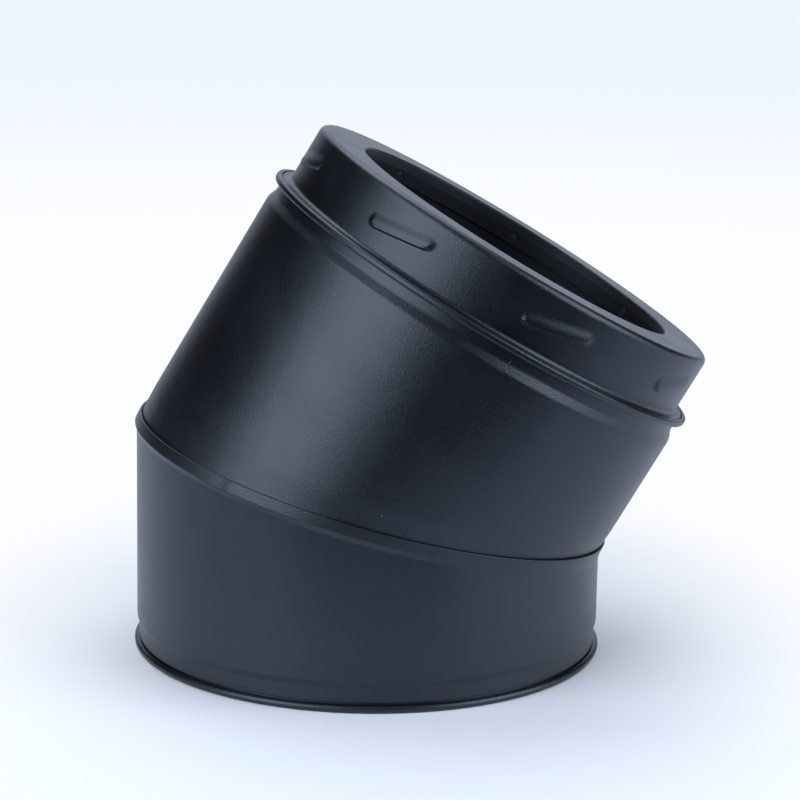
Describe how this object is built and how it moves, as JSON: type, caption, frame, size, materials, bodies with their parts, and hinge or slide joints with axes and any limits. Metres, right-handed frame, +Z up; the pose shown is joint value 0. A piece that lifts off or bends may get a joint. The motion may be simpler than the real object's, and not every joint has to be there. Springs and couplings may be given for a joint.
{
  "type": "flue elbow",
  "caption": "Insulated twin-wall flue elbow, black coated, with mitred gores, a male twist-lock collar and a female socket.",
  "frame": {"origin": "centre of the female end's foot plane", "axes": "+Z up the lower leg's axis, +X towards the side that the upper leg leans to"},
  "size_m": [0.2437, 0.2032, 0.2238],
  "materials": {
    "casing_coat": "satin",
    "coupler_coat": "satin",
    "liner_steel": "matt",
    "mineral_wool": "matt"
  },
  "bodies": {
    "root": {"outer_casing_lower": "casing_coat", "outer_casing_upper": "casing_coat", "casing_seam_lower": "casing_coat", "casing_seam_upper": "casing_coat", "male_coupler": "coupler_coat", "female_coupler": "coupler_coat", "liner_lower": "liner_steel", "liner_upper": "liner_steel", "mouth_welds": "coupler_coat", "foot_welds": "coupler_coat", "insulation_lower": "mineral_wool", "insulation_upper": "mineral_wool"}
  },
  "joints": []
}
